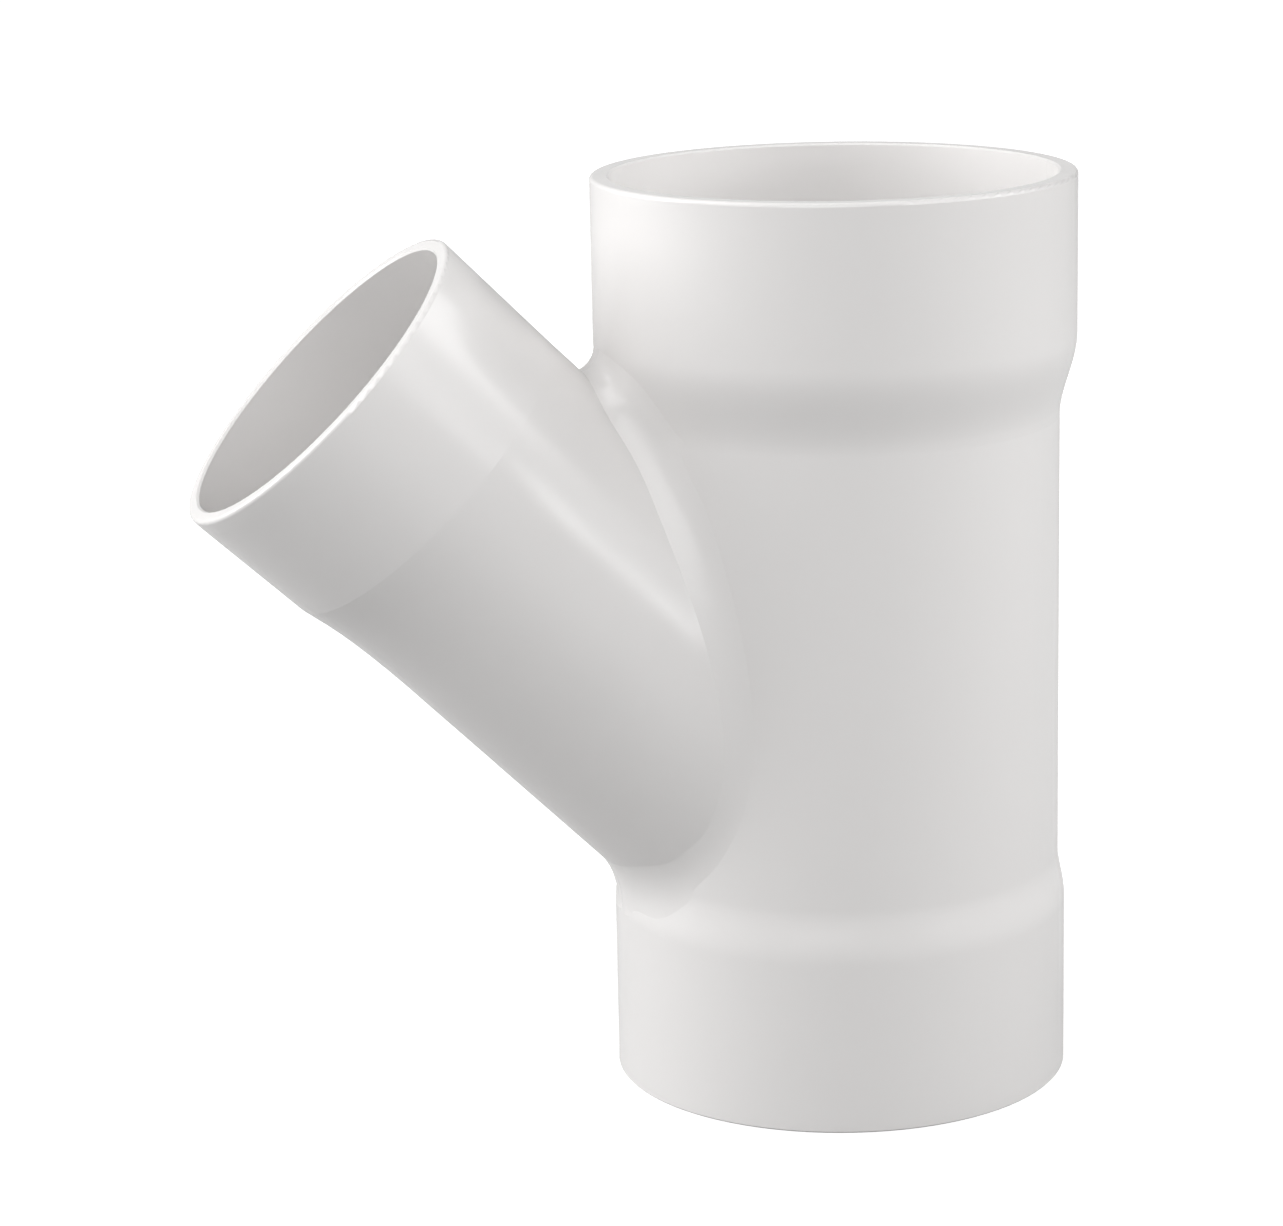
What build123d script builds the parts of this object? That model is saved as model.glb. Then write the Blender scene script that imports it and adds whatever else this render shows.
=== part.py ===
"""Lateral wye fitting: a straight run with a smaller branch at 45 degrees, moulded in one piece.

The origin is the centre of the run's lower mouth. The run stands along +Z and the branch leans towards -X.
"""
from build123d import *
from math import cos, hypot, radians, sin, sqrt
import os

# Driving sizes in millimetres and degrees.
# The pipes that are glued into the three sockets, and the slack of each socket over its pipe.
run_pipe_radius = 55.0
run_pipe_wall = 3.5
branch_pipe_radius = 41.25
branch_pipe_wall = 3.0
socket_slack = 0.1

# The run, from its lower mouth at height zero to its upper mouth.
run_length = 228.3
run_body_wall = 4.0
run_socket_depth = 44.0
upper_hub_wall = 4.6
upper_hub_length = 40.0
upper_taper_length = 20.4
lower_hub_wall = 2.1
lower_hub_length = 43.6
lower_taper_length = 12.6

# The branch, measured along its own axis from the point where that axis meets the run's axis. Its crotch side
# faces the run's upper hub and has the thicker wall, its heel side faces the lower hub, and its two cheeks lie
# between them.
branch_angle = 45.0
branch_axis_height = 55.2
branch_length = 183.3
branch_socket_depth = 36.0
branch_mouth_wall = 3.55
branch_mouth_land = 4.0
branch_hub_length = 35.5
hub_end_heel_wall = 2.45
hub_end_crotch_wall = 3.2
branch_taper_length = 40.0
branch_taper_power = 3
branch_taper_steps = 6
branch_heel_wall = 2.9
branch_crotch_wall = 6.4
branch_cheek_wall = 2.9

# The blend that fills the corner between branch and run. It is rounded into the run all the way, and meets
# the branch in a crease that is sharp in the crotch and fades out past the cheeks.
crotch_round = 6.0
cheek_round = 20.0
heel_round = 20.0
crotch_crease_angle = 60.0
crease_fade_angle = 125.0
blend_stations = 16
blend_overlap = 0.08
blend_seat = 4.0
blend_root = 12.0
seat_tilt_step = 0.5
seat_tilt_steps = 90
seat_passes = 80

# The three mouths: a rounded outer edge on the two upper ones, a crisp one below where the fitting stands, and
# a small lead-in for the pipe in each.
lip_round = 1.0
foot_edge = 0.4
lead_in = 0.5

# Sizes that follow from the ones above.
run_socket_radius = run_pipe_radius + socket_slack
run_bore_radius = run_pipe_radius - run_pipe_wall
run_body_radius = run_bore_radius + run_body_wall
upper_hub_radius = run_socket_radius + upper_hub_wall
upper_hub_end = run_length - upper_hub_length
upper_taper_end = upper_hub_end - upper_taper_length
lower_hub_radius = run_socket_radius + lower_hub_wall
lower_taper_end = lower_hub_length + lower_taper_length
branch_socket_radius = branch_pipe_radius + socket_slack
branch_bore_radius = branch_pipe_radius - branch_pipe_wall
branch_mouth_radius = branch_socket_radius + branch_mouth_wall
branch_hub_end = branch_length - branch_hub_length
branch_taper_end = branch_hub_end - branch_taper_length
hub_end_radius = branch_socket_radius + (hub_end_crotch_wall + hub_end_heel_wall) / 2
hub_end_shift = (hub_end_crotch_wall - hub_end_heel_wall) / 2
branch_body_height = branch_bore_radius + (branch_crotch_wall + branch_heel_wall) / 2
branch_body_width = branch_bore_radius + branch_cheek_wall
branch_body_shift = (branch_crotch_wall - branch_heel_wall) / 2
lean = radians(branch_angle)

# The run is drawn in the XZ plane. The branch has the same kind of plane, turned until its Y is the branch's
# axis. The outside of the branch's body has an axis of its own, shifted towards the crotch.
branch_plane = Plane(
    origin=(0, 0, branch_axis_height),
    x_dir=(sin(lean), 0, cos(lean)),
    z_dir=(0, -1, 0),
)
branch_axis = Axis(branch_plane.origin, branch_plane.y_dir)
body_axis_height = branch_axis_height + branch_body_shift / cos(lean)


def taper_rise(distance, hub_radius, taper_length):
    """How far a hub's taper stands out from the run's body, at a distance from the end of the taper."""
    share = min(max(distance / taper_length, 0), 1)
    return (hub_radius - run_body_radius) * (3 * share**2 - 2 * share**3)


def run_wall_radius(height):
    """Outer radius of the run at a height, with its two tapers."""
    upper = taper_rise(height - upper_taper_end, upper_hub_radius, upper_taper_length)
    lower = taper_rise(lower_taper_end - height, lower_hub_radius, lower_taper_length)
    return run_body_radius + upper + lower


def seat_on_run(height, ball):
    """How far from the run's axis a ball that rests on the run has its centre, and the tilt of its contact."""
    tilts = [radians(seat_tilt_step * step) for step in range(-seat_tilt_steps, seat_tilt_steps + 1)]
    return max((run_wall_radius(height + ball * sin(tilt)) + ball * cos(tilt), tilt) for tilt in tilts)


def ease(share):
    """A smooth step from 0 to 1."""
    return (1 - cos(radians(180) * min(share, 1))) / 2


def blend_ball(angle):
    """Radius of the ball that rolls round the junction, from the crotch over the cheek to the heel."""
    if angle < 90:
        return crotch_round + (cheek_round - crotch_round) * ease(angle / 90)
    return cheek_round + (heel_round - cheek_round) * ease((angle - 90) / 90)


def blend_station(angle):
    """Section plane of the blend at an angle round the branch, its ball, and the opening of its contacts."""
    ball = blend_ball(angle)
    crease = radians(crotch_crease_angle) * (1 - ease(angle / crease_fade_angle))
    around = radians(angle)
    support = hypot(branch_body_height * cos(around), branch_body_width * sin(around))
    up = (branch_body_height**2 / support + ball * cos(crease)) * cos(around)
    side = (branch_body_width**2 / support + ball * cos(crease)) * sin(around)
    height = body_axis_height
    for _ in range(seat_passes):
        reach, tilt = seat_on_run(height, ball)
        across = -sqrt(reach**2 - side**2)
        along = (up * sin(lean) - across) / cos(lean)
        height = body_axis_height + along * sin(lean) + up * cos(lean)
    centre = Vector(across, side, height)
    to_branch = Vector(-sin(lean) * cos(around), -sin(around), -cos(lean) * cos(around))
    to_run = Vector(-across / reach * cos(tilt), -side / reach * cos(tilt), sin(tilt))
    opening = radians(to_branch.get_angle(to_run))
    return Plane(origin=centre, x_dir=to_branch, z_dir=to_branch.cross(to_run)), ball, opening


def branch_section(distance, shift):
    """Plane across the branch at a distance along its axis, with its origin shifted towards the crotch."""
    return Plane(
        origin=branch_plane.origin + branch_plane.y_dir * distance + branch_plane.x_dir * shift,
        x_dir=branch_plane.x_dir,
        z_dir=branch_plane.y_dir,
    )


# Half of the blend, on the +Y side. Each section is an arc that ends inside both walls. From there it goes
# straight into them, to a root deep in the corner between them.
with BuildPart() as junction_blend:
    for station in range(blend_stations + 1):
        section_plane, ball, opening = blend_station(180 * station / blend_stations)
        radius = ball + blend_overlap
        seat = radius + blend_seat
        root = ball / cos(opening / 2) + blend_root
        on_branch = (radius, 0)
        middle = (radius * cos(opening / 2), radius * sin(opening / 2))
        on_run = (radius * cos(opening), radius * sin(opening))
        in_run = (seat * cos(opening), seat * sin(opening))
        in_corner = (root * cos(opening / 2), root * sin(opening / 2))
        with BuildSketch(section_plane):
            with BuildLine():
                ThreePointArc(on_branch, middle, on_run)
                Polyline(on_run, in_run, in_corner, (seat, 0), on_branch)
            make_face()
    loft()

# Outside of the branch's taper, from the body up to the end of the hub. On the crotch side it stays in line
# with both, so that the step shows on the heel side only.
with BuildPart() as branch_taper:
    for step in range(branch_taper_steps + 1):
        share = step / branch_taper_steps
        stand = share**branch_taper_power
        shift = branch_body_shift + (hub_end_shift - branch_body_shift) * stand
        with BuildSketch(branch_section(branch_taper_end + branch_taper_length * share, shift)):
            Ellipse(
                branch_body_height + (hub_end_radius - branch_body_height) * stand,
                branch_body_width + (hub_end_radius - branch_body_width) * stand,
            )
    loft()

# Outside of the branch's hub, a little wider towards the mouth, with a straight land at the mouth itself.
with BuildPart() as branch_hub:
    with BuildSketch(branch_section(branch_hub_end, hub_end_shift)):
        Circle(hub_end_radius)
    with BuildSketch(branch_section(branch_length - branch_mouth_land, 0)):
        Circle(branch_mouth_radius)
    loft()
    with BuildSketch(branch_section(branch_length - branch_mouth_land, 0)):
        Circle(branch_mouth_radius)
    extrude(amount=branch_mouth_land)

with BuildPart() as wye_body:
    # Outside of the run, a hub at each end with a smooth taper down to the body.
    with BuildSketch(Plane.XZ):
        with BuildLine():
            Polyline((0, 0), (lower_hub_radius, 0), (lower_hub_radius, lower_hub_length))
            Bezier(
                (lower_hub_radius, lower_hub_length),
                (lower_hub_radius, lower_hub_length + lower_taper_length / 3),
                (run_body_radius, lower_taper_end - lower_taper_length / 3),
                (run_body_radius, lower_taper_end),
            )
            Line((run_body_radius, lower_taper_end), (run_body_radius, upper_taper_end))
            Bezier(
                (run_body_radius, upper_taper_end),
                (run_body_radius, upper_taper_end + upper_taper_length / 3),
                (upper_hub_radius, upper_hub_end - upper_taper_length / 3),
                (upper_hub_radius, upper_hub_end),
            )
            Polyline((upper_hub_radius, upper_hub_end), (upper_hub_radius, run_length), (0, run_length), (0, 0))
        make_face()
    revolve(axis=Axis.Z)

    # Outside of the branch, from the middle of the run out to its mouth.
    with BuildSketch(branch_section(0, branch_body_shift)):
        Ellipse(branch_body_height, branch_body_width)
    extrude(amount=branch_taper_end)
    add(branch_taper.part)
    add(branch_hub.part)

    # The blend between the two, on both sides.
    add(junction_blend.part)
    mirror(junction_blend.part, about=Plane.XZ)

    # The passage through the run, wider in both sockets, where a flat step stops the pipe.
    with BuildSketch(Plane.XZ):
        with BuildLine():
            Polyline(
                (0, 0),
                (run_socket_radius, 0),
                (run_socket_radius, run_socket_depth),
                (run_bore_radius, run_socket_depth),
                (run_bore_radius, run_length - run_socket_depth),
                (run_socket_radius, run_length - run_socket_depth),
                (run_socket_radius, run_length),
                (0, run_length),
                close=True,
            )
        make_face()
    revolve(axis=Axis.Z, mode=Mode.SUBTRACT)

    # The passage through the branch, which opens into the run's.
    with BuildSketch(branch_plane):
        with BuildLine():
            Polyline(
                (0, 0),
                (branch_bore_radius, 0),
                (branch_bore_radius, branch_length - branch_socket_depth),
                (branch_socket_radius, branch_length - branch_socket_depth),
                (branch_socket_radius, branch_length),
                (0, branch_length),
                close=True,
            )
        make_face()
    revolve(axis=branch_axis, mode=Mode.SUBTRACT)

    # The edges of the three mouths.
    mouths = [
        wye_body.faces().sort_by(Axis.Z)[0],
        wye_body.faces().sort_by(Axis.Z)[-1],
        wye_body.faces().sort_by(branch_axis)[-1],
    ]
    lower_rim, upper_rim, branch_rim = [mouth.edges().sort_by(SortBy.LENGTH) for mouth in mouths]
    fillet([upper_rim[-1], branch_rim[-1]], lip_round)
    chamfer(lower_rim[-1], foot_edge)
    chamfer([lower_rim[0], upper_rim[0], branch_rim[0]], lead_in)

os.makedirs("parts", exist_ok=True)
wye_body.part.label = "wye_body"
export_step(wye_body.part, "parts/wye_body.step")
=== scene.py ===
import math
import bpy
from mathutils import Matrix, Vector

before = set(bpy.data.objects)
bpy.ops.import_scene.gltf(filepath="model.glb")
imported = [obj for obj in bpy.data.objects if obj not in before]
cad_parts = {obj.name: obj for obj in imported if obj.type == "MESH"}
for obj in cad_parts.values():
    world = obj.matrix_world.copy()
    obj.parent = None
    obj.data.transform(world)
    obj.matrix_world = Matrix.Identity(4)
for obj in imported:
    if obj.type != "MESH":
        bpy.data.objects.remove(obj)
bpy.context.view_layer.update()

# The fitting is one moulding of rigid white PVC, injected hot round polished steel cores and left with the
# gloss of the mould. The white is a little warm and uneven in depth. The skin has long shallow sink waves
# and the fine orange peel of the mould, which breaks up a sharp highlight.
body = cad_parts["wye_body"]

pvc = bpy.data.materials.new("moulded_white_pvc")
pvc.use_nodes = True
pvc_nodes = pvc.node_tree.nodes
pvc_links = pvc.node_tree.links
pvc_surface = pvc_nodes["Principled BSDF"]
pvc_surface.inputs["IOR"].default_value = 1.52
pvc_place = pvc_nodes.new("ShaderNodeTexCoord")

# Depth of colour: soft clouds some 70 mm across.
cloud = pvc_nodes.new("ShaderNodeTexNoise")
cloud.inputs["Scale"].default_value = 14.0
cloud.inputs["Detail"].default_value = 3.0
pvc_links.new(pvc_place.outputs["Object"], cloud.inputs["Vector"])
tint = pvc_nodes.new("ShaderNodeMix")
tint.data_type = "RGBA"
tint.inputs["A"].default_value = (0.800, 0.785, 0.776, 1)
tint.inputs["B"].default_value = (0.835, 0.821, 0.813, 1)
pvc_links.new(cloud.outputs["Fac"], tint.inputs["Factor"])
pvc_links.new(tint.outputs["Result"], pvc_surface.inputs["Base Color"])

# Gloss: handling has dulled it here and there.
rub = pvc_nodes.new("ShaderNodeTexNoise")
rub.inputs["Scale"].default_value = 45.0
rub.inputs["Detail"].default_value = 5.0
pvc_links.new(pvc_place.outputs["Object"], rub.inputs["Vector"])
gloss = pvc_nodes.new("ShaderNodeMapRange")
gloss.inputs["From Min"].default_value = 0.3
gloss.inputs["From Max"].default_value = 0.7
gloss.inputs["To Min"].default_value = 0.20
gloss.inputs["To Max"].default_value = 0.27
pvc_links.new(rub.outputs["Fac"], gloss.inputs["Value"])
pvc_links.new(gloss.outputs["Result"], pvc_surface.inputs["Roughness"])

# Skin: sink waves 40 mm long and hundredths of a millimetre deep, then orange peel a millimetre across.
wave = pvc_nodes.new("ShaderNodeTexNoise")
wave.inputs["Scale"].default_value = 25.0
wave.inputs["Detail"].default_value = 1.0
pvc_links.new(pvc_place.outputs["Object"], wave.inputs["Vector"])
wave_bump = pvc_nodes.new("ShaderNodeBump")
wave_bump.inputs["Distance"].default_value = 0.00006
pvc_links.new(wave.outputs["Fac"], wave_bump.inputs["Height"])
peel = pvc_nodes.new("ShaderNodeTexNoise")
peel.inputs["Scale"].default_value = 900.0
peel.inputs["Detail"].default_value = 2.0
pvc_links.new(pvc_place.outputs["Object"], peel.inputs["Vector"])
peel_bump = pvc_nodes.new("ShaderNodeBump")
peel_bump.inputs["Distance"].default_value = 0.000006
pvc_links.new(peel.outputs["Fac"], peel_bump.inputs["Height"])
pvc_links.new(wave_bump.outputs["Normal"], peel_bump.inputs["Normal"])
pvc_links.new(peel_bump.outputs["Normal"], pvc_surface.inputs["Normal"])

body.data.materials.clear()
body.data.materials.append(pvc)

# The floor and the air round the fitting are plain white, as on a product table. What is seen of them,
# directly or in the gloss, is white in itself. Near the foot the floor glows less, which is painted shade
# round the foot, and the fitting's own soft shadow also falls there. The gloss shows the room between the
# lamps as a pale grey.
table_width = 12.0
gloss_share = 0.4


def seen_share(nodes, links):
    """How much of its own white a ray sees: all for the camera, part in the gloss, none as light."""
    path = nodes.new("ShaderNodeLightPath")
    in_gloss = nodes.new("ShaderNodeMath")
    in_gloss.operation = "MULTIPLY"
    in_gloss.inputs[1].default_value = gloss_share
    links.new(path.outputs["Is Glossy Ray"], in_gloss.inputs[0])
    seen_or_gloss = nodes.new("ShaderNodeMath")
    seen_or_gloss.operation = "MAXIMUM"
    links.new(path.outputs["Is Camera Ray"], seen_or_gloss.inputs[0])
    links.new(in_gloss.outputs["Value"], seen_or_gloss.inputs[1])
    share = nodes.new("ShaderNodeMath")
    share.operation = "MAXIMUM"
    links.new(seen_or_gloss.outputs["Value"], share.inputs[0])
    links.new(path.outputs["Is Transmission Ray"], share.inputs[1])
    return share.outputs["Value"]


bpy.ops.object.select_all(action="DESELECT")
bpy.ops.mesh.primitive_plane_add(size=table_width, location=(0, 0, 0))
floor = bpy.context.object
floor.name = "floor"
white_table = bpy.data.materials.new("white_table")
white_table.use_nodes = True
table_nodes = white_table.node_tree.nodes
table_links = white_table.node_tree.links
table_surface = table_nodes["Principled BSDF"]
table_surface.inputs["Base Color"].default_value = (0.35, 0.35, 0.35, 1)
table_surface.inputs["Roughness"].default_value = 1.0
table_surface.inputs["Specular IOR Level"].default_value = 0.0

# The glow grows from the foot outwards, over a few tens of centimetres, so the dimmer glow near the foot
# is painted shade.
table_place = table_nodes.new("ShaderNodeTexCoord")
table_reach = table_nodes.new("ShaderNodeVectorMath")
table_reach.operation = "LENGTH"
table_links.new(table_place.outputs["Object"], table_reach.inputs[0])
painted_foot_shade = table_nodes.new("ShaderNodeMapRange")
painted_foot_shade.inputs["From Min"].default_value = 0.06
painted_foot_shade.inputs["From Max"].default_value = 0.45
painted_foot_shade.inputs["To Min"].default_value = 0.80
painted_foot_shade.inputs["To Max"].default_value = 1.0
table_links.new(table_reach.outputs["Value"], painted_foot_shade.inputs["Value"])
table_strength = table_nodes.new("ShaderNodeMath")
table_strength.operation = "MULTIPLY"
# The glow is turned down near the foot: painted shade round the fitting.
table_links.new(seen_share(table_nodes, table_links), table_strength.inputs[0])
table_links.new(painted_foot_shade.outputs["Result"], table_strength.inputs[1])
table_glow = table_nodes.new("ShaderNodeEmission")
table_links.new(table_strength.outputs["Value"], table_glow.inputs["Strength"])
table_sum = table_nodes.new("ShaderNodeAddShader")
table_links.new(table_surface.outputs["BSDF"], table_sum.inputs[0])
table_links.new(table_glow.outputs["Emission"], table_sum.inputs[1])
table_links.new(table_sum.outputs["Shader"], table_nodes["Material Output"].inputs["Surface"])
floor.data.materials.append(white_table)

# The air gives a weak even light and is seen as white.
world = bpy.data.worlds.new("studio")
bpy.context.scene.world = world
world.use_nodes = True
air_nodes = world.node_tree.nodes
air_links = world.node_tree.links
air = air_nodes["Background"]
air.inputs["Color"].default_value = (1, 1, 1, 1)
air.inputs["Strength"].default_value = 0.20
seen_air = air_nodes.new("ShaderNodeBackground")
seen_air.inputs["Color"].default_value = (1, 1, 1, 1)
seen_air.inputs["Strength"].default_value = 1.0
air_mix = air_nodes.new("ShaderNodeMixShader")
air_links.new(seen_share(air_nodes, air_links), air_mix.inputs["Fac"])
air_links.new(air.outputs["Background"], air_mix.inputs[1])
air_links.new(seen_air.outputs["Background"], air_mix.inputs[2])
air_links.new(air_mix.outputs["Shader"], air_nodes["World Output"].inputs["Surface"])

# Softboxes stand on a circle round the fitting. Those on the left give most of the light, the next three
# fill in, and the last two draw the soft band and the thin bright line along the branch. Each is placed by
# its turn to the left of the camera and its rise above the level, in degrees seen from the fitting.
lamp_aim = Vector((-0.04, 0.0, 0.12))
lamp_distance = 1.4
camera_side = math.radians(-106.6)


def softbox(name, left, rise, width, height, power):
    """A lamp with an even rectangular face, turned towards the middle of the fitting."""
    bearing = camera_side - math.radians(left)
    level = math.cos(math.radians(rise))
    height_share = math.sin(math.radians(rise))
    towards = Vector((math.cos(bearing) * level, math.sin(bearing) * level, height_share))
    lamp = bpy.data.lights.new(name, "AREA")
    lamp.shape = "RECTANGLE"
    lamp.size = width
    lamp.size_y = height
    lamp.energy = power
    holder = bpy.data.objects.new(name, lamp)
    bpy.context.scene.collection.objects.link(holder)
    holder.location = lamp_aim + towards * lamp_distance
    holder.rotation_euler = (-towards).to_track_quat("-Z", "Y").to_euler()
    holder.visible_camera = False


softbox("left_high_softbox", left=70, rise=48, width=1.0, height=1.0, power=7.5)
softbox("left_softbox", left=96, rise=21, width=1.0, height=1.0, power=14.5)
softbox("front_softbox", left=6, rise=22, width=0.9, height=0.9, power=5.0)
softbox("right_front_softbox", left=-42, rise=36, width=0.9, height=0.9, power=3.0)
softbox("right_broad_softbox", left=-72, rise=28, width=1.3, height=1.2, power=4.5)
softbox("right_softbox", left=-100, rise=26, width=0.85, height=0.75, power=6.5)
softbox("right_strip", left=-59, rise=9, width=0.30, height=0.10, power=0.7)

# The camera stands about a metre off, a little above the mouths, and looks down on the fitting. Its place,
# its turn and its lens were fitted to the fitting's outlines in the photograph.
photo_width = 1283
focal_pixels = 3890.7
camera_place = Vector((-0.27174, -0.91133, 0.34964))
camera_turn = math.radians(13.646)
camera_tilt = math.radians(-13.711)
camera_roll = math.radians(-1.209)
lens = bpy.data.cameras.new("camera")
lens.sensor_fit = "HORIZONTAL"
lens.sensor_width = 36.0
lens.lens = focal_pixels / photo_width * lens.sensor_width
camera = bpy.data.objects.new("camera", lens)
bpy.context.scene.collection.objects.link(camera)
camera.matrix_world = (
    Matrix.Translation(camera_place)
    @ Matrix.Rotation(-camera_turn, 4, "Z")
    @ Matrix.Rotation(math.radians(90) + camera_tilt, 4, "X")
    @ Matrix.Rotation(camera_roll, 4, "Z")
)
bpy.context.scene.camera = camera
bpy.context.scene.view_settings.view_transform = "Standard"
